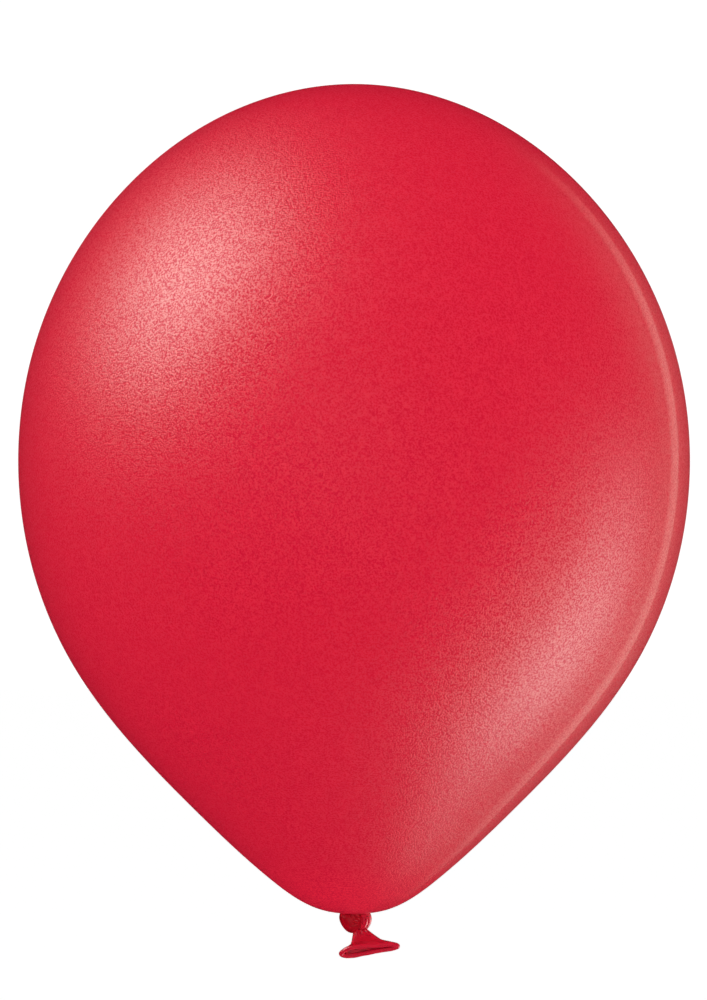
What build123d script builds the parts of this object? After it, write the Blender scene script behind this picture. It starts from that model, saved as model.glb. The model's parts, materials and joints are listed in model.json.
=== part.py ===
"""Inflated 30 cm latex party balloon, tied off with an overhand knot in its own neck.

A latex balloon is one dipped skin. Blown up and tied, it works as seven regions that carry
different loads, and each of them is a solid here:

    skin       the thin gas-tight envelope, with the shallow cup that it presses round the knot
    throat     the neck gathered into pleats between the skin and the knot
    knot_core  the gathered neck inside the knot
    knot_turn  the turn of the neck that is drawn tight round the core
    tail_root  the pinched strand of neck that comes out under the turn
    tail       the free end of the neck, flattened into a tube that flares to the mouth
    lip        the rolled bead round the flattened mouth

Units are millimetres. The origin is the tie point, on the axis in the middle of the throat.
+Z points up through the crown, and the tail hangs forwards, towards -Y.
"""
from build123d import *
from math import acos, atan2, cos, degrees, radians, sin, sqrt
import os

# The envelope at full size.
BALLOON_RADIUS = 150.0
BODY_HEIGHT = 370.6  # from the nose rim, the skin's lowest ring, to the crown
NOSE_Z = -3.4
SKIN_WALL = 0.4
# The meridian from the crown to the nose rim: share of the radius, share of the height.
MERIDIAN = [
    (0.3935, 0.9611),
    (0.7686, 0.832),
    (0.9641, 0.665),
    (0.9578, 0.4161),
    (0.848, 0.3073),
    (0.4784, 0.1256),
    (0.2546, 0.0412),
]
INNER_SAMPLES = 18  # spans of the curve that carries the inside of the wall

# The cup that the skin forms over the knot, and the rounded rim between cup and nose.
CUP_RADIUS = 6.65
CUP_CENTRE_Z = -5.7
RIM_FILLET = 1.6
RIM_CENTRE_Z = NOSE_Z + RIM_FILLET
RIM_RADIUS = sqrt((CUP_RADIUS + RIM_FILLET) ** 2 - (RIM_CENTRE_Z - CUP_CENTRE_Z) ** 2)

# The gathered neck between the skin and the knot.
THROAT_RADIUS = 2.3
THROAT_BOTTOM_Z = -0.55
PLEATS = 12
PLEAT_DEPTH = 0.3

# The overhand knot. The gap lets it twist under the throat.
KNOT_GAP = 0.2
CORE_CENTRE = Vector(-0.4, 0.0, -6.1)
CORE_RADIUS = 5.2
TURN_CENTRE = Vector(0.5, 0.0, -6.8)
TURN_RADIUS = 4.1  # to the middle of the strand
STRAND_RADIUS = 2.65
TURN_TILT = -20.0  # degrees about Y, which lifts the turn on the +X side

# The tail. It bends at the knot, sways a little further out, and ends in the mouth.
TAIL_BEND = Vector(2.8, -1.0, -11.9)
MOUTH_CENTRE = Vector(6.8, -9.7, -18.8)
MOUTH_SLOPE = 7.6  # degrees that the mouth's +X end is higher
ROOT_LENGTH = 3.5
ROOT_RADIUS = 2.0
JOINT_GAP = 0.3
TAIL_WALL = 0.4
# Cross-sections along the tail: distance from the sway axis, shift of its middle to +X,
# width, thickness. The tail's left edge stays straight while its right edge flares.
TAIL_SECTIONS = [
    (0.6, 0.7, 12.0, 3.6),
    (2.8, 0.7, 14.6, 3.6),
    (5.4, 0.4, 18.4, 3.8),
    (8.0, 0.0, 25.9, 4.0),
]
HOLLOW_SECTION = 1  # the cross-section where the two layers of the tail part

# The rolled bead, whose middle follows the flattened mouth.
BEAD_RADIUS = 0.95
MOUTH_WIDTH = 25.5
MOUTH_THICKNESS = 3.6

# Directions worked out from the tail's layout: along the mouth, and out of it.
LENGTHWAYS = Vector(cos(radians(MOUTH_SLOPE)), 0.0, sin(radians(MOUTH_SLOPE)))
RUN = MOUTH_CENTRE - TAIL_BEND
OUTWARDS = (RUN - LENGTHWAYS * RUN.dot(LENGTHWAYS)).normalized()
TAIL_SWAY = TAIL_BEND + RUN.normalized() * ROOT_LENGTH


def make_skin():
    crown = (0.0, NOSE_Z + BODY_HEIGHT)
    stations = [(BALLOON_RADIUS * r, NOSE_Z + BODY_HEIGHT * h) for r, h in MERIDIAN]
    level_ends = {"tangents": [(1, 0), (-1, 0)], "tangent_scalars": [1.0, 1.0]}
    outside = Spline(crown, *stations, (RIM_RADIUS, NOSE_Z), **level_ends)
    inner_points = []
    for i in range(INNER_SAMPLES + 1):
        along = outside % (i / INNER_SAMPLES)
        inwards = Vector(along.Y, -along.X)
        inner_points.append(outside @ (i / INNER_SAMPLES) + inwards * SKIN_WALL)
    inside = Spline(*inner_points, **level_ends)
    outer_fillet, outer_cup = nose_arcs(0.0)
    inner_fillet, inner_cup = nose_arcs(SKIN_WALL)
    section = Curve() + [
        outside,
        outer_fillet,
        outer_cup,
        Line(outer_cup @ 1, inner_cup @ 1),
        inner_cup,
        inner_fillet,
        inside,
        Line(inside @ 0, outside @ 0),
    ]
    return revolve(Plane.XZ * make_face(section), Axis.Z)


def nose_arcs(depth):
    """The rim's fillet and the cup, that deep in the wall, in the skin's half section."""
    seam = degrees(atan2(RIM_CENTRE_Z - CUP_CENTRE_Z, RIM_RADIUS))
    edge = degrees(acos(THROAT_RADIUS / (CUP_RADIUS + depth)))
    rim_centre = (RIM_RADIUS, RIM_CENTRE_Z)
    fillet = CenterArc(rim_centre, RIM_FILLET - depth, -90, seam - 90)
    cup = CenterArc((0, CUP_CENTRE_Z), CUP_RADIUS + depth, seam, edge - seam)
    return fillet, cup


def cup_height(depth):
    """How high the cup meets the throat, that deep in the skin's wall."""
    return CUP_CENTRE_Z + sqrt((CUP_RADIUS + depth) ** 2 - THROAT_RADIUS**2)


def make_throat():
    foot = (Align.CENTER, Align.CENTER, Align.MIN)
    height = cup_height(SKIN_WALL) - THROAT_BOTTOM_Z
    throat = Pos(0, 0, THROAT_BOTTOM_Z) * Cylinder(THROAT_RADIUS, height, align=foot)
    groove = Cylinder(PLEAT_DEPTH, cup_height(0.0) - THROAT_BOTTOM_Z, align=foot)
    for i in range(PLEATS):
        around = Rot(0, 0, 360 * i / PLEATS) * Pos(THROAT_RADIUS, 0, THROAT_BOTTOM_Z)
        throat -= around * groove
    return throat


def make_knot_core():
    return Pos(CORE_CENTRE) * Sphere(CORE_RADIUS) - space_above_knot() - pocket(TAIL_BEND)


def make_knot_turn(core):
    turn = Pos(TURN_CENTRE) * Rot(0, TURN_TILT, 0) * Torus(TURN_RADIUS, STRAND_RADIUS)
    return turn - core - space_above_knot() - pocket(TAIL_BEND)


def space_above_knot():
    """The throat's side of the gap that the knot twists in."""
    foot = (Align.CENTER, Align.CENTER, Align.MIN)
    size = 2 * CUP_RADIUS
    return Pos(0, 0, THROAT_BOTTOM_Z - KNOT_GAP) * Box(size, size, size, align=foot)


def pocket(centre):
    """The round hollow in which one end of the tail's root turns."""
    return Pos(centre) * Sphere(ROOT_RADIUS + JOINT_GAP)


def make_tail_root():
    """A round-ended strand from the tail's bend to its sway axis."""
    foot = (Align.CENTER, Align.CENTER, Align.MIN)
    shaft = Cylinder(ROOT_RADIUS, ROOT_LENGTH, align=foot)
    ends = Sphere(ROOT_RADIUS) + Pos(0, 0, ROOT_LENGTH) * Sphere(ROOT_RADIUS)
    return Plane(TAIL_BEND, z_dir=TAIL_SWAY - TAIL_BEND) * (shaft + ends)


def section_plane(distance, shift):
    """The plane across the tail at that distance from the sway axis."""
    whole = (MOUTH_CENTRE - TAIL_SWAY).dot(OUTWARDS)
    middle = TAIL_SWAY + (MOUTH_CENTRE - TAIL_SWAY) * (distance / whole)
    return Plane(middle + LENGTHWAYS * shift, x_dir=LENGTHWAYS, z_dir=OUTWARDS)


def tail_tube(inset, first):
    """The flared tube from one of its cross-sections to the mouth, that far inside."""
    return loft(
        [
            section_plane(distance, shift) * SlotOverall(width - 2 * inset, thick - 2 * inset)
            for distance, shift, width, thick in TAIL_SECTIONS[first:]
        ]
    )


def make_lip():
    distance, shift, _, _ = TAIL_SECTIONS[-1]
    path = section_plane(distance, shift) * SlotOverall(MOUTH_WIDTH, MOUTH_THICKNESS)
    wire = path.face().outer_wire()
    bead = Plane(wire @ 0, z_dir=wire % 0) * Circle(BEAD_RADIUS)
    return sweep(bead, path=wire)


def make_tail(lip):
    hollow = tail_tube(TAIL_WALL, HOLLOW_SECTION)
    return tail_tube(0.0, 0) - hollow - pocket(TAIL_SWAY) - lip


def main():
    core = make_knot_core()
    lip = make_lip()
    pieces = {
        "skin": make_skin(),
        "throat": make_throat(),
        "knot_core": core,
        "knot_turn": make_knot_turn(core),
        "tail_root": make_tail_root(),
        "tail": make_tail(lip),
        "lip": lip,
    }
    os.makedirs("parts", exist_ok=True)
    for name, piece in pieces.items():
        export_step(piece, f"parts/{name}.step")


main()
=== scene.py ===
"""Looks for the tied latex balloon: a pearly stretched skin and the slack neck, knot and lip.

Everything is in metres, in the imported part's frame: the origin is the tie point in the
throat, +Z goes up through the crown, and the tail leans towards -Y.
"""
import json
import math

import bpy
import numpy as np
from mathutils import Matrix, Vector


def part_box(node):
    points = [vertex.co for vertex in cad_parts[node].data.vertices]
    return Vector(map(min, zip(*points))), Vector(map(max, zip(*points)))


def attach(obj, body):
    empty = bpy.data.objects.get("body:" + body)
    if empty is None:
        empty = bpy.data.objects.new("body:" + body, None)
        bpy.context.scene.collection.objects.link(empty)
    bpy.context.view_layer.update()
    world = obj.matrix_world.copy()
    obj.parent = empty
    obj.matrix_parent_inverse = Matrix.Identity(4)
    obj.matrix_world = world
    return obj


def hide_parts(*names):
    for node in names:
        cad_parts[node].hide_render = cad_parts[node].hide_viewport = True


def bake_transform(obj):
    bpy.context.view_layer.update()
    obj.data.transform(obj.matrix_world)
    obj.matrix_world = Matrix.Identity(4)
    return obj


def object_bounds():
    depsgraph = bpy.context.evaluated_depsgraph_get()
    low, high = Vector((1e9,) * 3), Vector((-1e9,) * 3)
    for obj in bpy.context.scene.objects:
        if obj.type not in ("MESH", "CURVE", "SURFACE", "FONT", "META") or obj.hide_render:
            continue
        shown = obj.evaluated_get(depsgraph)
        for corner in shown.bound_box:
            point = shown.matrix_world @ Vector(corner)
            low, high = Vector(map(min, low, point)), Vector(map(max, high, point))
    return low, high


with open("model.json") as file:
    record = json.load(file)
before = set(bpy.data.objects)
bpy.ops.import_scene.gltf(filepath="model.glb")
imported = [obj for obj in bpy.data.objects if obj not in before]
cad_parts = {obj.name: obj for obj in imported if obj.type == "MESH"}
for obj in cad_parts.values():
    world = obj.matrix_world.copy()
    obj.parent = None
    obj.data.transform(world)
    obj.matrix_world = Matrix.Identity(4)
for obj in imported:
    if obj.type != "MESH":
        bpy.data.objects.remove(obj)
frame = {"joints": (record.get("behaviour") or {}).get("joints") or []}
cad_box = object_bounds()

MM = 0.001


def unit(vectors):
    """The same directions, with length one."""
    return vectors / np.linalg.norm(vectors, axis=-1, keepdims=True)


# ---------------------------------------------------------------------------- the frame
JOINTS = {joint["name"]: joint for joint in frame["joints"]}
SKIN_LOW, SKIN_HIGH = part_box("skin")
LIP_LOW, LIP_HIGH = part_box("lip")

BEND = np.array(JOINTS["tail_flap"]["pos_m"])  # where the tail bends, under the knot
LENGTHWAYS = unit(np.array(JOINTS["tail_flap"]["axis"]))  # along the flattened mouth
OUTWARDS = unit(np.cross(JOINTS["tail_sway"]["axis"], LENGTHWAYS))  # from the bend to the mouth
UNDER = np.cross(LENGTHWAYS, OUTWARDS)  # out of the tail's lower face
MOUTH = (np.array(LIP_LOW) + np.array(LIP_HIGH)) / 2
MOUTH_ALONG = (MOUTH - BEND) @ LENGTHWAYS
MOUTH_AHEAD = 0.8 * MM  # how far the drawn mouth lies past the middle of the CAD lip
MOUTH_OUT = (MOUTH - BEND) @ OUTWARDS + MOUTH_AHEAD

# ------------------------------------------------------------------------------- shapes
# The meridian from the crown to the nose rim: share of the radius, share of the height.
MERIDIAN = [
    (0.0, 1.0),
    (0.3935, 0.9611),
    (0.7686, 0.832),
    (0.9641, 0.665),
    (0.9578, 0.4161),
    (0.848, 0.3073),
    (0.4784, 0.1256),
    (0.2546, 0.0412),
]
SKIN_RINGS = 230
SKIN_SIDES = 288
INNER_RINGS = 70
ARC_POINTS = 14  # along the rounded rim, and along the cup
PUCKER_DEPTH = 0.09 * MM  # of the film round the knot
FILM = 0.3 * MM  # drawn thickness of the stretched skin
RIM_FILLET = 1.6 * MM
CUP_RADIUS = 6.65 * MM
CUP_CENTRE = -5.7 * MM
THROAT_RADIUS = 2.3 * MM
THROAT_TOP = 0.9 * MM
THROAT_BOTTOM = -1.9 * MM
THROAT_PLEAT = 0.22 * MM
THROAT_WAIST = 0.16 * MM  # how far the neck is drawn in at the tie point
THROAT_WAIST_REACH = 1.2 * MM  # how far up and down the waist reaches
THROAT_CLEARANCE = 0.1 * MM  # inside the hole in the skin
THROAT_TWIST = 0.25 / MM  # radians that its pleats turn through in a metre of height

# The strands of the knot: points along each and its radius from end to end,
# in millimetres, then its pleats.
LOBE = {
    "path": [
        (-0.6, 3.2, -3.4), (-2.3, 1.6, -4.9), (-2.2, -0.2, -6.7), (-1.5, -0.4, -8.3),
        (-0.7, -0.3, -9.4), (1.3, -0.9, -9.3), (3.2, -0.6, -8.0),
    ],
    "radii": [2.4, 3.5, 4.35, 4.2, 3.9, 3.0, 1.6],
    "flat_axis": (0.2, -1, 0.1), "pleats": 11, "depth": 0.09, "seed": 4,
}
HEART = {
    "path": [(0.2, 0.1, -1.4), (0.2, 0.0, -4.0), (0.5, 0.1, -7.0), (1.8, -0.2, -9.8)],
    "radii": [2.8, 4.6, 4.5, 3.0], "pleats": 12, "depth": 0.2, "seed": 8,
}
TURN = {
    "path": [
        (1.4, -0.8, -1.9), (3.9, -1.6, -3.3), (5.3, -1.8, -5.5), (5.5, -1.7, -7.3),
        (4.7, -1.3, -9.2), (3.0, -1.0, -11.6),
    ],
    "radii": [1.9, 2.2, 2.35, 2.45, 2.3, 1.9], "pleats": 10, "depth": 0.2, "seed": 12,
}
TURN_BACK = {
    "path": [
        (-3.6, -0.4, -5.2), (-2.6, 2.6, -4.6), (0.6, 3.9, -4.6), (3.6, 2.9, -6.4),
        (4.2, 0.4, -8.6), (2.6, -0.6, -9.8),
    ],
    "radii": [1.7, 2.3, 2.5, 2.4, 2.2, 1.8], "pleats": 10, "depth": 0.22, "seed": 17,
}
STRAND_RINGS = 90
STRAND_SIDES = 72
STRAND_BLEND = 6  # rings to either side over which a strand's radii are averaged
STRAND_END = 9  # rings over which each of its ends is rounded
KNOT_VOXEL = 0.14 * MM
KNOT_SMOOTHING = 3  # passes

# The tail's outline in its own plane, in millimetres from the bend: distance outwards,
# left edge, right edge, half thickness.
TAIL_OUTLINE = [
    (-2.6, -0.4, 1.1, 0.8),
    (-1.0, -2.3, 2.5, 1.8),
    (0.8, -3.2, 3.6, 1.8),
    (2.5, -3.7, 4.9, 1.65),
    (4.2, -4.1, 6.3, 1.55),
    (6.2, -4.6, 8.0, 1.5),
    (8.2, -5.3, 10.0, 1.5),
    (9.8, -6.6, 12.2, 1.5),
    (11.2, -8.8, 14.6, 1.8),
    (12.6, -9.5, 15.4, 1.9),
]
TAIL_WALL = 0.32 * MM
TAIL_SIDES = 240
SEAM_OUT = 3.1 * MM  # where the tail's piece starts
SEAM_LAP = 0.5 * MM  # how much of the root's piece lies inside the tail's

BEAD_RADIUS = 0.95 * MM
LIP_HALF_WIDTH = 12.7 * MM
FLARE_START = 7.0 * MM  # where the tail starts to open towards the mouth
MOUTH_DEPTH = 2.6 * MM  # how far in the two layers come together
# The mouth's opening, in millimetres: place along it, bead above and bead below its middle.
MOUTH_OPENING = [
    (-12.8, 1.2, 1.4),
    (-11.0, 2.2, 2.1),
    (-8.0, 3.1, 2.3),
    (-2.0, 2.7, 1.8),
    (5.0, 1.9, 1.2),
    (10.0, 2.0, 1.1),
    (12.8, 1.2, 0.9),
]
LIP_STEPS = 360
BEAD_SIDES = 40
SHARP_EDGE = 55  # degrees above which an edge isn't smoothed over


def smoothstep(value, low, high):
    t = np.clip((value - low) / (high - low), 0.0, 1.0)
    return t * t * (3 - 2 * t)


def clamped_spline(points, start, end, samples):
    """A cubic spline through the points, even in length, with unit slopes at both ends."""
    places = np.array(points, float)
    gaps = np.linalg.norm(np.diff(places, axis=0), axis=1)
    count = len(places)
    system = np.zeros((count, count))
    right = np.zeros((count, 2))
    system[0, 0] = system[-1, -1] = 1.0
    right[0], right[-1] = start, end
    for i in range(1, count - 1):
        system[i, i - 1] = 1 / gaps[i - 1]
        system[i, i] = 2 / gaps[i - 1] + 2 / gaps[i]
        system[i, i + 1] = 1 / gaps[i]
        before = (places[i] - places[i - 1]) / gaps[i - 1] ** 2
        after = (places[i + 1] - places[i]) / gaps[i] ** 2
        right[i] = 3 * (before + after)
    slopes = np.linalg.solve(system, right)
    spans = []
    for i in range(count - 1):
        t = np.linspace(0, 1, 200, endpoint=(i == count - 2))[:, None]
        spans.append(hermite(t, gaps[i], places[i], places[i + 1], slopes[i], slopes[i + 1]))
    return evenly(np.vstack(spans), samples)


def hermite(t, gap, first, last, first_slope, last_slope):
    """The cubic between two values with given slopes, at the share t of the gap between them."""
    return (
        (1 + 2 * t) * (1 - t) ** 2 * first
        + t * (1 - t) ** 2 * gap * first_slope
        + t * t * (3 - 2 * t) * last
        - t * t * (1 - t) * gap * last_slope
    )


def distances(points):
    """How far along the line each of its points lies."""
    return np.concatenate([[0], np.cumsum(np.linalg.norm(np.diff(points, axis=0), axis=1))])


def evenly(points, samples):
    """The same line with that many points, evenly spaced along it."""
    run = distances(points)
    at = np.linspace(0, run[-1], samples)
    return np.stack([np.interp(at, run, points[:, k]) for k in range(points.shape[1])], 1)


def smooth_through(stations, at):
    """Smooth values of each column of the stations at the given first-column places."""
    table = np.array(stations, float)
    x = table[:, 0]
    i = np.clip(np.searchsorted(x, at) - 1, 0, len(x) - 2)
    gap = x[i + 1] - x[i]
    t = (at - x[i]) / gap
    out = []
    for column in table[:, 1:].T:
        slope = np.gradient(column, x)
        out.append(hermite(t, gap, column[i], column[i + 1], slope[i], slope[i + 1]))
    return out


def circle(count):
    """That many angles, evenly spaced all the way round."""
    return np.linspace(0, 2 * math.pi, count, endpoint=False)


def wave(angle, seed, lobes, spread=4):
    """A smooth, uneven ripple round a circle, between about -1 and 1."""
    rng = np.random.default_rng(seed)
    total = np.zeros_like(angle)
    for _ in range(5):
        count = lobes + rng.integers(-spread, spread + 1)
        total = total + rng.uniform(0.5, 1.0) * np.sin(count * angle + rng.uniform(0, 6.28))
    return total / 2.4


def add_mesh(name, points, faces, material):
    mesh = bpy.data.meshes.new(name)
    mesh.from_pydata([tuple(p) for p in points], [], faces)
    mesh.validate()
    mesh.materials.append(material)
    mesh.shade_smooth()
    mesh.set_sharp_from_angle(angle=math.radians(SHARP_EDGE))
    piece = bpy.data.objects.new(name, mesh)
    bpy.context.scene.collection.objects.link(piece)
    return piece


def ring_faces(rings, sides, closed=False):
    """Quads between rings of points, each ring closed; optionally last ring to first."""
    faces = []
    for r in range(rings if closed else rings - 1):
        a, b = r * sides, ((r + 1) % rings) * sides
        for s in range(sides):
            t = (s + 1) % sides
            faces.append((a + s, a + t, b + t, b + s))
    return faces


def fan(centre, ring_start, sides, outward):
    """Triangles from a centre point to a ring."""
    faces = []
    for s in range(sides):
        t = (s + 1) % sides
        pair = (ring_start + s, ring_start + t)
        faces.append((centre, *pair) if outward else (centre, *pair[::-1]))
    return faces


def capped(rings, first, last):
    """Points and faces of a closed piece: rings of points, and a fan to a point at each end."""
    count, sides = len(rings), len(rings[0])
    points = np.vstack(rings + [[first], [last]])
    faces = ring_faces(count, sides)
    faces += fan(count * sides, 0, sides, True)
    faces += fan(count * sides + 1, (count - 1) * sides, sides, False)
    return points, faces


# -------------------------------------------------------------------------------- skin
def cup_arcs(depth, rim_radius, samples):
    """The rounded rim and the cup in half section, that deep inside the film."""
    rim_height = SKIN_LOW.z + RIM_FILLET
    seam = math.atan2(rim_height - CUP_CENTRE, rim_radius)
    edge = math.acos(THROAT_RADIUS / (CUP_RADIUS + depth))
    turn = np.linspace(-math.pi / 2, seam - math.pi, samples)
    fillet = np.stack([np.cos(turn), np.sin(turn)], 1) * (RIM_FILLET - depth)
    climb = np.linspace(seam, edge, samples)
    cup = np.stack([np.cos(climb), np.sin(climb)], 1) * (CUP_RADIUS + depth)
    return np.vstack([fillet + (rim_radius, rim_height), cup[1:] + (0, CUP_CENTRE)])


def skin_section():
    """The film's half section: from the crown down its outside, then up its inside."""
    radius = (SKIN_HIGH.x - SKIN_LOW.x) / 2
    height = SKIN_HIGH.z - SKIN_LOW.z
    rise = SKIN_LOW.z + RIM_FILLET - CUP_CENTRE
    rim_radius = math.sqrt((CUP_RADIUS + RIM_FILLET) ** 2 - rise**2)
    stations = [(radius * r, SKIN_LOW.z + height * h) for r, h in MERIDIAN]
    stations.append((rim_radius, SKIN_LOW.z))
    outer = clamped_spline(stations, (1, 0), (-1, 0), SKIN_RINGS)
    along = unit(np.gradient(outer, axis=0))
    inner = outer + np.stack([along[:, 1], -along[:, 0]], 1) * FILM
    pick = np.linspace(1, SKIN_RINGS - 1, INNER_RINGS).round().astype(int)
    outside = np.vstack([outer[1:], cup_arcs(0.0, rim_radius, ARC_POINTS)[1:]])
    inside = np.vstack([inner[pick], cup_arcs(FILM, rim_radius, ARC_POINTS)[1:]])
    return np.vstack([outside, inside[::-1]])


def make_skin(material):
    angle = circle(SKIN_SIDES)
    puckers = wave(angle, 3, 30, 6)
    rings = []
    for r, z in skin_section():
        near_knot = 1 - smoothstep(r, 5.5 * MM, 15 * MM)
        low = 1 - smoothstep(z, 2 * MM, 6 * MM)
        ripple = PUCKER_DEPTH * near_knot * low * puckers
        rings.append(np.stack([r * np.cos(angle), r * np.sin(angle), z + ripple], 1))
    points, faces = capped(rings, (0, 0, SKIN_HIGH.z), (0, 0, SKIN_HIGH.z - FILM))
    return add_mesh("balloon_skin", points, faces, material)


# ------------------------------------------------------------------------------ throat
def make_throat(material):
    """The pleated neck, from inside the skin's hole down into the knot."""
    sides, count = 160, 26
    angle = circle(sides)
    pleats = np.abs(np.sin(7.5 * angle + 0.6 * np.sin(3 * angle))) - 0.6
    rings = []
    for z in np.linspace(THROAT_TOP, THROAT_BOTTOM, count):
        waist = THROAT_WAIST * (1 - (z / THROAT_WAIST_REACH) ** 2)
        radius = THROAT_RADIUS - THROAT_CLEARANCE - max(waist, -THROAT_CLEARANCE)
        radius = radius + THROAT_PLEAT * pleats
        swirl = angle + THROAT_TWIST * z
        rings.append(
            np.stack([radius * np.cos(swirl), radius * np.sin(swirl), np.full(sides, z)], 1)
        )
    points, faces = capped(rings, (0, 0, THROAT_TOP), (0, 0, THROAT_BOTTOM))
    return add_mesh("gathered_throat", points, faces, material)


# -------------------------------------------------------------------------------- knot
def strand(path, radii, pleats, depth, seed, flat_axis=(0, 1, 0)):
    """A round-ended strand of gathered latex along points, which are in millimetres."""
    line = rounded_path(np.array(path, float), STRAND_RINGS)
    along = unit(np.gradient(line, axis=0))
    share = np.linspace(0, 1, STRAND_RINGS)
    size = strand_radius(share, radii)
    angle = circle(STRAND_SIDES)
    across = unit(np.cross(unit(np.array(flat_axis, float)), along))
    up = np.cross(along, across)
    rings = []
    for i in range(STRAND_RINGS):
        ripple = 1 + depth * wave(angle + 0.9 * share[i], seed, pleats, 2) * 0.35
        a = (np.cos(angle) * size[i] * ripple)[:, None] * across[i]
        b = (np.sin(angle) * size[i] * ripple)[:, None] * up[i]
        rings.append(line[i] + a + b)
    points, faces = capped(rings, line[0], line[-1])
    return points * MM, faces


def strand_radius(share, radii):
    """The radii blended along the strand, and drawn in at its rounded ends."""
    size = np.interp(share, np.linspace(0, 1, len(radii)), radii)
    window = 2 * STRAND_BLEND + 1
    size = np.pad(size, STRAND_BLEND, mode="edge")
    size = np.convolve(size, np.ones(window) / window, mode="valid")
    ends = np.minimum(share, 1 - share) * (STRAND_RINGS - 1) / STRAND_END
    return size * np.sqrt(np.clip(1 - (1 - np.clip(ends, 0, 1)) ** 2, 0.0004, 1))


def rounded_path(points, samples):
    """A smooth even line through the points."""
    run = distances(points)
    columns = smooth_through(np.column_stack([run, points]), np.linspace(0, run[-1], 400))
    return evenly(np.stack(columns, 1), samples)


def fuse(name, strands, material):
    """Joins strands into one closed skin, keeping the creases where they meet."""
    points, faces, start = [], [], 0
    for strand_points, strand_faces in strands:
        points.append(strand_points)
        faces += [tuple(i + start for i in face) for face in strand_faces]
        start += len(strand_points)
    piece = add_mesh(name, np.vstack(points), faces, material)
    remesh = piece.modifiers.new("remesh", "REMESH")
    remesh.mode = "VOXEL"
    remesh.voxel_size = KNOT_VOXEL
    remesh.adaptivity = 0.0
    soften = piece.modifiers.new("soften", "SMOOTH")
    soften.factor = 0.5
    soften.iterations = KNOT_SMOOTHING
    apply_modifiers(piece, material)
    return piece


def apply_modifiers(piece, material):
    """Replaces the piece's mesh with what its modifiers make of it."""
    bpy.context.view_layer.update()
    evaluated = piece.evaluated_get(bpy.context.evaluated_depsgraph_get())
    mesh = bpy.data.meshes.new_from_object(evaluated)
    piece.modifiers.clear()
    piece.data = mesh
    mesh.materials.clear()
    mesh.materials.append(material)
    mesh.shade_smooth()


def make_knot(core_material, turn_material):
    core = fuse("knot_core_lobe", [strand(**LOBE), strand(**HEART)], core_material)
    turn = fuse("knot_turn_strand", [strand(**TURN), strand(**TURN_BACK)], turn_material)
    return core, turn


# -------------------------------------------------------------------------------- tail
def in_tail_plane(along, up, out):
    """Points from their distances along the mouth, out of the upper face, and outwards."""
    flat = along[:, None] * LENGTHWAYS + out[:, None] * OUTWARDS
    return BEND + flat - up[:, None] * UNDER


def tail_folds(out, across, sine):
    """How far the gathers at the root lift the film, across the tail from -1 to 1."""
    gather = 1 - smoothstep(out, 1.0 * MM, 6.5 * MM)
    folds = np.sin(9.5 * across + 1.2 * np.sin(2.3 * across + 0.4) + 0.5 * np.sign(sine))
    fine = np.sin(23 * across + 2.0 * np.sin(3 * across)) * 0.45
    return (0.30 * folds + 0.16 * fine) * gather * MM


def tail_dimple(out, across):
    """How far the film sinks in halfway between the root and the mouth."""
    halfway = smoothstep(out, 3.0 * MM, 6.0 * MM) * (1 - smoothstep(out, 7.5 * MM, 10 * MM))
    return 0.3 * MM * np.exp(-(((across + 0.1) / 0.5) ** 2)) * halfway


def tail_surface(out, inset, squeeze=0.0):
    """A closed loop round the flattened tail at a distance outwards.

    inset takes it inside the film, and squeeze brings its two layers together.
    """
    edges = smooth_through(TAIL_OUTLINE, np.array([out / MM]))
    left, right, half = (float(value[0]) * MM for value in edges)
    middle, wide = (left + right) / 2, (right - left) / 2
    angle = circle(TAIL_SIDES)
    cosine, sine = np.cos(angle), np.sin(angle)
    side = np.sign(sine)
    across = np.sign(cosine) * np.abs(cosine) ** 0.86
    along = middle + wide * across
    up = half * side * np.abs(sine) ** 0.9
    up = up + np.abs(sine) * (tail_folds(out, across, sine) - side * tail_dimple(out, across))
    mouth_along, mouth_up, mouth_out = mouth_loop(angle)
    flare = smoothstep(out, FLARE_START, MOUTH_OUT)
    along = along + (MOUTH_ALONG + mouth_along - along) * flare
    up = up + (mouth_up - up) * flare
    centre = MOUTH_ALONG * flare + middle * (1 - flare)
    along = centre + (1 - inset / wide) * (along - centre)
    up = (up - inset * side * np.abs(sine) ** 0.5) * (1 - squeeze)
    up = up + squeeze * 0.35 * MM * np.sin(3.1 * across - 0.6)
    return in_tail_plane(along, up, out + mouth_out * flare)


def make_tail_root(material):
    rings = []
    for out in np.linspace(TAIL_OUTLINE[0][0] * MM, SEAM_OUT + SEAM_LAP, 40):
        tuck = 0.04 * MM * smoothstep(out, SEAM_OUT - 0.1 * MM, SEAM_OUT + 0.1 * MM)
        rings.append(tail_surface(out, tuck))
    points, faces = capped(rings, rings[0].mean(0), rings[-1].mean(0))
    return add_mesh("tail_root_gather", points, faces, material)


def make_tail(material):
    """The two-layered tail: its outer face, then back inside until the layers touch."""
    outside = [tail_surface(out, 0.0) for out in np.linspace(SEAM_OUT, MOUTH_OUT, 64)]
    inside = []
    for out in np.linspace(MOUTH_OUT, MOUTH_OUT - MOUTH_DEPTH, 30):
        close = smoothstep(MOUTH_OUT - out, 0.2 * MM, 0.92 * MOUTH_DEPTH)
        inside.append(tail_surface(out, TAIL_WALL, 0.96 * close))
    edge = (outside[-1] + inside[0]) / 2 + 0.12 * MM * OUTWARDS
    rings = outside + [edge] + inside
    points, faces = capped(rings, rings[0].mean(0), rings[-1].mean(0))
    return add_mesh("tail_tube", points, faces, material)


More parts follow.
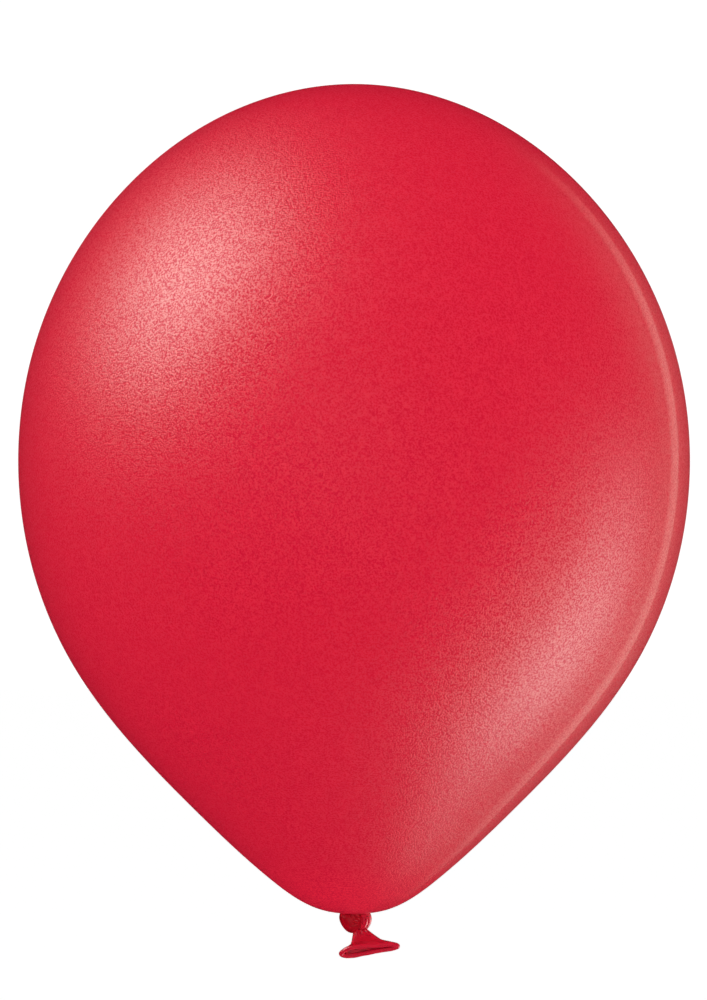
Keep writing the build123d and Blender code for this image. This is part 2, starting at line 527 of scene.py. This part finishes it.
# --------------------------------------------------------------------------------- lip
def mouth_loop(turn):
    """The film's edge round the mouth, from its middle: along, up and out."""
    cosine, sine = np.cos(turn), np.sin(turn)
    along = LIP_HALF_WIDTH * np.sign(cosine) * np.abs(cosine) ** 0.32
    places = along / MM
    above, below = smooth_through(MOUTH_OPENING, places)
    up = np.where(sine > 0, above, -below) * np.abs(sine) ** 0.85 * MM
    share = along / LIP_HALF_WIDTH
    out = np.where(sine > 0, -0.35 * MM * np.abs(sine) * (1 - share**2), 0.0)
    return along, up, out


def lip_line():
    """The middle of the rolled bead round the mouth, in even steps."""
    closed = np.stack(mouth_loop(circle(2400)), 1)
    closed = np.vstack([closed, closed[:1]])
    return evenly(closed, LIP_STEPS + 1)[:-1]


def bead_radius(angle, position, thick):
    """The rolled edge's radius round one ring, with the notch where the roll ends."""
    seam = 2.45 + 0.18 * math.sin(5 * position) + 0.12 * math.sin(11 * position + 1)
    away = np.angle(np.exp(1j * (angle - seam)))
    notch = 0.17 * np.exp(-((away / 0.16) ** 2))
    roll = 0.05 * np.tanh(away / 0.2) * np.exp(-((away / 0.9) ** 2))
    crease = 0.008 * math.sin(41 * position + 3 * math.sin(7 * position))
    return thick * (1 - notch + roll + crease * (0.5 - 0.5 * np.cos(angle - seam)))


def make_lip(material):
    line = lip_line()
    ahead = np.roll(line, -1, axis=0) - np.roll(line, 1, axis=0)
    ahead[:, 2] = 0
    ahead = unit(ahead)
    outside = np.stack([ahead[:, 1], -ahead[:, 0], np.zeros(len(line))], 1)
    if (outside * line).sum() < 0:
        outside = -outside
    position = circle(LIP_STEPS)
    thick = BEAD_RADIUS * (1.15 + 0.045 * wave(position, 21, 7, 3))
    angle = circle(BEAD_SIDES)
    rings = []
    for i in range(LIP_STEPS):
        radius = bead_radius(angle, position[i], thick[i])
        local = line[i] + (radius * np.cos(angle))[:, None] * outside[i]
        local = local + (radius * np.sin(angle))[:, None] * np.array([0, 0, -1.0])
        along, up, out = local.T
        rings.append(in_tail_plane(MOUTH_ALONG + along, up, MOUTH_OUT + out))
    faces = ring_faces(LIP_STEPS, BEAD_SIDES, True)
    return add_mesh("mouth_lip_bead", np.vstack(rings), faces, material)


# --------------------------------------------------------------------------- materials
class Nodes:
    """Short names for building one material's nodes."""

    def __init__(self, name):
        self.material = bpy.data.materials.new(name)
        self.material.use_nodes = True
        self.tree = self.material.node_tree
        self.shader = self.tree.nodes["Principled BSDF"]
        self.place = self.tree.nodes.new("ShaderNodeTexCoord").outputs["Object"]

    def link(self, output, node_input):
        self.tree.links.new(output, node_input)

    def noise(self, scale, detail=2.0, roughness=0.5, distortion=0.0):
        """Uneven values about 0.5, with that many lumps to the metre."""
        node = self.tree.nodes.new("ShaderNodeTexNoise")
        self.link(self.place, node.inputs["Vector"])
        node.inputs["Scale"].default_value = scale
        node.inputs["Detail"].default_value = detail
        node.inputs["Roughness"].default_value = roughness
        node.inputs["Distortion"].default_value = distortion
        return node.outputs["Fac"]

    def remap(self, value, low, high, to_low, to_high, smooth=False):
        """Takes the values from low to high over to another range, and clamps them there."""
        node = self.tree.nodes.new("ShaderNodeMapRange")
        node.interpolation_type = "SMOOTHSTEP" if smooth else "LINEAR"
        self.link(value, node.inputs["Value"])
        for key, number in (
            ("From Min", low), ("From Max", high), ("To Min", to_low), ("To Max", to_high)
        ):
            node.inputs[key].default_value = number
        return node.outputs["Result"]

    def mix(self, factor, first, second):
        """Blends two colours, each a colour or another node's output."""
        node = self.tree.nodes.new("ShaderNodeMix")
        node.data_type = "RGBA"
        self.link(factor, node.inputs[0])
        for slot, colour in ((6, first), (7, second)):
            if isinstance(colour, tuple):
                node.inputs[slot].default_value = (*colour, 1.0)
            else:
                self.link(colour, node.inputs[slot])
        return node.outputs[2]

    def height(self):
        """The height over the tie point."""
        node = self.tree.nodes.new("ShaderNodeSeparateXYZ")
        self.link(self.place, node.inputs[0])
        return node.outputs["Z"]

    def bump(self, height, distance, strength, below=None):
        """Relief of that depth, on top of another relief if there is one."""
        node = self.tree.nodes.new("ShaderNodeBump")
        self.link(height, node.inputs["Height"])
        node.inputs["Distance"].default_value = distance
        node.inputs["Strength"].default_value = strength
        if below is not None:
            self.link(below, node.inputs["Normal"])
        return node.outputs["Normal"]

    def wear(self, **outputs):
        """Links node outputs to the shader's inputs."""
        for key, output in outputs.items():
            self.link(output, self.shader.inputs[key.replace("_", " ")])

    def set(self, **values):
        """Sets what is the same all over the surface."""
        for key, value in values.items():
            self.shader.inputs[key.replace("_", " ")].default_value = value


# The stretched film: colours of the body, and tints of its gloss.
FILM_DEEP, FILM_FLAKE = (0.565, 0.0052, 0.033), (0.83, 0.0205, 0.050)
FILM_CLOUD, FILM_CROWN = (0.66, 0.0125, 0.036), (0.40, 0.004, 0.016)
DULL_GLOSS, FLAKE_GLOSS, NOSE_GLOSS = (0.0, 0.22, 0.17), (0.08, 1.0, 0.83), (0.0, 0.15, 0.12)
FLAKES_PER_METRE = 1250.0

# Shades of the unstretched latex: its pale grain, its deep grain and its streaks.
SLACK_SHADES = {
    "slack_latex": ((0.66, 0.0062, 0.032), (0.53, 0.0036, 0.023), (0.45, 0.003, 0.020)),
    # painted shade: the knot core's copy is darker all over, standing for the shade on its left
    # lobe
    "painted_shade_latex": ((0.46, 0.0020, 0.012), (0.38, 0.0014, 0.009), (0.34, 0.001, 0.008)),
    # the turn's copy is lighter, partly because the turn is drawn tight and partly as painted
    # light for its lit side and highlight
    "taut_and_painted_lit_latex": ((0.74, 0.014, 0.044), (0.62, 0.008, 0.032), (0.56, 0.006, 0.027)),
}


def stretched_latex():
    """Pearly crimson film: mica grain in a satin body under a thin glossy surface.

    The film is thicker, so darker or duller, at the very top and round the nose.
    """
    nodes = Nodes("stretched_pearl_latex")
    grain = nodes.noise(FLAKES_PER_METRE, 1.0, 0.6)
    cloud = nodes.noise(14.0, 3.0, 0.55)
    flake = nodes.remap(grain, 0.38, 0.62, 0.0, 1.0)
    body = nodes.mix(flake, FILM_DEEP, FILM_FLAKE)
    body = nodes.mix(nodes.remap(cloud, 0.35, 0.65, 0.0, 0.2), body, FILM_CLOUD)
    top = SKIN_HIGH.z
    crown = nodes.remap(nodes.height(), top - 3.2 * MM, top - 0.2 * MM, 0.0, 0.42, smooth=True)
    nose = nodes.remap(nodes.height(), 6 * MM, 30 * MM, 0.75, 0.0, smooth=True)
    gloss = nodes.mix(flake, DULL_GLOSS, FLAKE_GLOSS)
    nodes.wear(
        Base_Color=nodes.mix(crown, body, FILM_CROWN),
        Specular_Tint=nodes.mix(nose, gloss, NOSE_GLOSS),
        Roughness=nodes.remap(grain, 0.3, 0.7, 0.46, 0.36),
        Normal=nodes.bump(grain, 0.3 * MM, 1.0),
    )
    nodes.set(IOR=2.0, Specular_IOR_Level=1.0)
    nodes.set(Coat_Weight=0.4, Coat_Roughness=0.04, Coat_IOR=1.5)
    return nodes.material


def unstretched_latex(name):
    """Latex that is deeper, smoother and glossier, with fine dipping streaks."""
    pale, deep, streak = SLACK_SHADES[name]
    nodes = Nodes(name)
    grain = nodes.noise(2300.0, 2.0, 0.6)
    streaks = nodes.noise(420.0, 2.0, 0.5, 0.3)
    body = nodes.mix(nodes.remap(grain, 0.3, 0.7, 0.0, 1.0), deep, pale)
    rough = nodes.bump(grain, 0.04 * MM, 0.3)
    nodes.wear(
        Base_Color=nodes.mix(nodes.remap(streaks, 0.35, 0.7, 0.0, 0.5), body, streak),
        Roughness=nodes.remap(streaks, 0.3, 0.7, 0.33, 0.45),
        Normal=nodes.bump(streaks, 0.12 * MM, 0.25, rough),
    )
    nodes.set(IOR=1.9, Specular_IOR_Level=0.9)
    nodes.set(Coat_Weight=0.85, Coat_Roughness=0.2, Coat_IOR=1.6)
    return nodes.material


# --------------------------------------------------------------------- light and camera
CENTRE = Vector((0, 0, (cad_box[0].z + cad_box[1].z) / 2))
GLOW_DISTANCE = 2.4  # of the soft boxes from the centre
TENT_REACH = 2.0  # from the centre to each panel
TENT_LEVEL = 1.2
TENT_SHARES = (  # each panel's direction and its share of the level
    ("tent_right", (1, 0, 0), 1.0),
    ("tent_left", (-1, 0, 0), 1.0),
    ("tent_back", (0, 1, 0), 1.0),
    ("tent_front", (0, -1, 0), 1.0),
    ("tent_top", (0, 0, 1), 1.06),
    ("tent_below", (0, 0, -1), 0.73),
)
WHITE = (1, 1, 1)
WARM = (1, 0.95, 0.78)
FLOOR_Z = -2.6
FLOOR_RADIUS = 40.0
CAMERA_PLACE = (-0.25 * MM, -1.25, SKIN_LOW.z + 0.1848)
CAMERA_LENS = 100.05


def make_floor():
    """A plain pale floor, well below the hanging balloon."""
    material = bpy.data.materials.new("pale_floor")
    material.use_nodes = True
    shader = material.node_tree.nodes["Principled BSDF"]
    shader.inputs["Base Color"].default_value = (0.9, 0.9, 0.9, 1)
    shader.inputs["Roughness"].default_value = 0.9
    shader.inputs["Emission Color"].default_value = (1, 1, 1, 1)
    shader.inputs["Emission Strength"].default_value = 1.0
    sides = 96
    turn = circle(sides)
    edge = FLOOR_RADIUS * np.stack([np.cos(turn), np.sin(turn)], 1)
    ring = np.column_stack([edge, np.full(sides, FLOOR_Z)])
    floor = add_mesh("floor", ring, [tuple(range(sides))], material)
    floor.visible_glossy = False
    floor.visible_diffuse = False


def make_world():
    """White surroundings for the camera; the latex is lit by the tent and the soft boxes."""
    world = bpy.data.worlds.new("studio")
    bpy.context.scene.world = world
    world.use_nodes = True
    background = world.node_tree.nodes["Background"]
    background.inputs["Color"].default_value = (1, 1, 1, 1)
    background.inputs["Strength"].default_value = 1.05
    world.cycles_visibility.diffuse = False
    world.cycles_visibility.glossy = False


def make_light_tent():
    """Six square panels all round that give the same soft light from every side."""
    for name, direction, share in TENT_SHARES:
        light = bpy.data.lights.new(name, "AREA")
        light.shape = "SQUARE"
        light.size = 2 * TENT_REACH
        light.energy = math.pi * (2 * TENT_REACH) ** 2 * TENT_LEVEL * share
        light.cycles.use_multiple_importance_sampling = False
        panel = bpy.data.objects.new(name, light)
        bpy.context.scene.collection.objects.link(panel)
        towards = Vector(direction)
        turn = (-towards).to_track_quat("-Z", "Y").to_matrix().to_4x4()
        panel.matrix_world = Matrix.Translation(CENTRE + towards * TENT_REACH) @ turn
        panel.visible_camera = False
        panel.visible_glossy = False
        panel.visible_transmission = False


def glow_material(name, colour):
    """Emission whose strength is the patch's own fade."""
    material = bpy.data.materials.new(name)
    material.use_nodes = True
    tree = material.node_tree
    tree.nodes.clear()
    glow = tree.nodes.new("ShaderNodeEmission")
    glow.inputs["Color"].default_value = (*colour, 1)
    out = tree.nodes.new("ShaderNodeOutputMaterial")
    fade = tree.nodes.new("ShaderNodeAttribute")
    fade.attribute_name = "fade"
    tree.links.new(fade.outputs["Fac"], glow.inputs["Strength"])
    tree.links.new(glow.outputs[0], out.inputs["Surface"])
    return material


def make_soft_box(name, material, off, roll, off_fade, roll_fade, power, further=1.0):
    """A curved soft box, seen only in the gloss, that fades towards its edges.

    off and roll are the ranges, in degrees, of its angle from the camera's side and of the
    turn round that line from +X to +Z. Each fade is (share where it is full, share where it
    starts to drop, how steeply it drops).
    """
    wide, long = 28, 96
    points, strength = [], []
    for u in np.linspace(0, 1, wide):
        cone = math.radians(off[0] + u * (off[1] - off[0]))
        for v in np.linspace(0, 1, long):
            angle = math.radians(roll[0] + v * (roll[1] - roll[0]))
            x, z = math.sin(cone) * math.cos(angle), math.sin(cone) * math.sin(angle)
            points.append(CENTRE + GLOW_DISTANCE * further * Vector((x, -math.cos(cone), z)))
            strength.append(power * fade_at(u, *off_fade) * fade_at(v, *roll_fade))
    faces = []
    for i in range(wide - 1):
        for j in range(long - 1):
            k = i * long + j
            faces.append((k, k + 1, k + long + 1, k + long))
    box = add_mesh(name, points, faces, material)
    attribute = box.data.attributes.new("fade", "FLOAT", "POINT")
    attribute.data.foreach_set("value", np.array(strength, np.float32))
    box.visible_camera = False
    box.visible_diffuse = False
    box.visible_transmission = False
    box.visible_shadow = False


def fade_at(share, full, drop, steep):
    """0 at the start of the range, 1 in its middle, and 0 again at its end."""
    fall = 1.0 if drop >= 1 else 1 - smoothstep(share, drop, 1.0)
    return float(smoothstep(share, 0.0, max(full, 1e-6)) * fall**steep)


def make_camera():
    data = bpy.data.cameras.new("camera")
    data.sensor_width = 36.0
    data.lens = CAMERA_LENS
    data.clip_start, data.clip_end = 0.05, 60.0
    camera = bpy.data.objects.new("camera", data)
    bpy.context.scene.collection.objects.link(camera)
    camera.location = CAMERA_PLACE
    camera.rotation_euler = (math.radians(90), 0, 0)
    bpy.context.scene.camera = camera


# ------------------------------------------------------------------------------- making
film = stretched_latex()
slack = unstretched_latex("slack_latex")
# a darker copy of the latex, as painted shade on the knot core
painted_shade_core = unstretched_latex("painted_shade_latex")
skin = make_skin(film)
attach(skin, "balloon")
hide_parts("skin")

throat = make_throat(slack)
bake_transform(throat)
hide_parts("throat")

# a lighter copy for the turn strand: partly its tighter stretch, partly painted light
taut_and_painted_lit = unstretched_latex("taut_and_painted_lit_latex")
core, wrap = make_knot(painted_shade_core, taut_and_painted_lit)
for piece, node in ((core, "knot_core"), (wrap, "knot_turn")):
    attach(piece, "knot")
    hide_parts(node)

root = make_tail_root(slack)
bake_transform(root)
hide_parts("tail_root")

tail = make_tail(slack)
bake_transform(tail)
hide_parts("tail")

lip = make_lip(slack)
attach(lip, "tail")
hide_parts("lip")

make_floor()
make_world()
make_light_tent()
soft = glow_material("soft_box", WHITE)
warm = glow_material("warm_box", WARM)
make_soft_box(
    "key_upper_left", soft, off=(47, 150), roll=(97, 176),
    off_fade=(0.28, 0.28, 3.5), roll_fade=(0.51, 0.51, 1), power=4.15,
)
make_soft_box(
    "low_right", soft, off=(73, 122), roll=(-81, 16),
    off_fade=(0.5, 0.5, 1), roll_fade=(0.44, 0.44, 1), power=2.95,
)
make_soft_box(
    "rim_strip", warm, off=(128, 141), roll=(-74, 66),
    off_fade=(0.55, 0.88, 1), roll_fade=(0.26, 0.63, 1), power=1.12,
)
make_soft_box(
    "rim_halo", warm, off=(108, 150), roll=(-70, 66),
    off_fade=(0.6, 0.6, 1), roll_fade=(0.32, 0.63, 1), power=0.3, further=1.08,
)
make_soft_box(
    "front_fill", soft, off=(0, 42), roll=(0, 360),
    off_fade=(0, 0, 1), roll_fade=(0, 1, 1), power=0.13,
)
make_camera()
bpy.context.scene.view_settings.view_transform = "Standard"
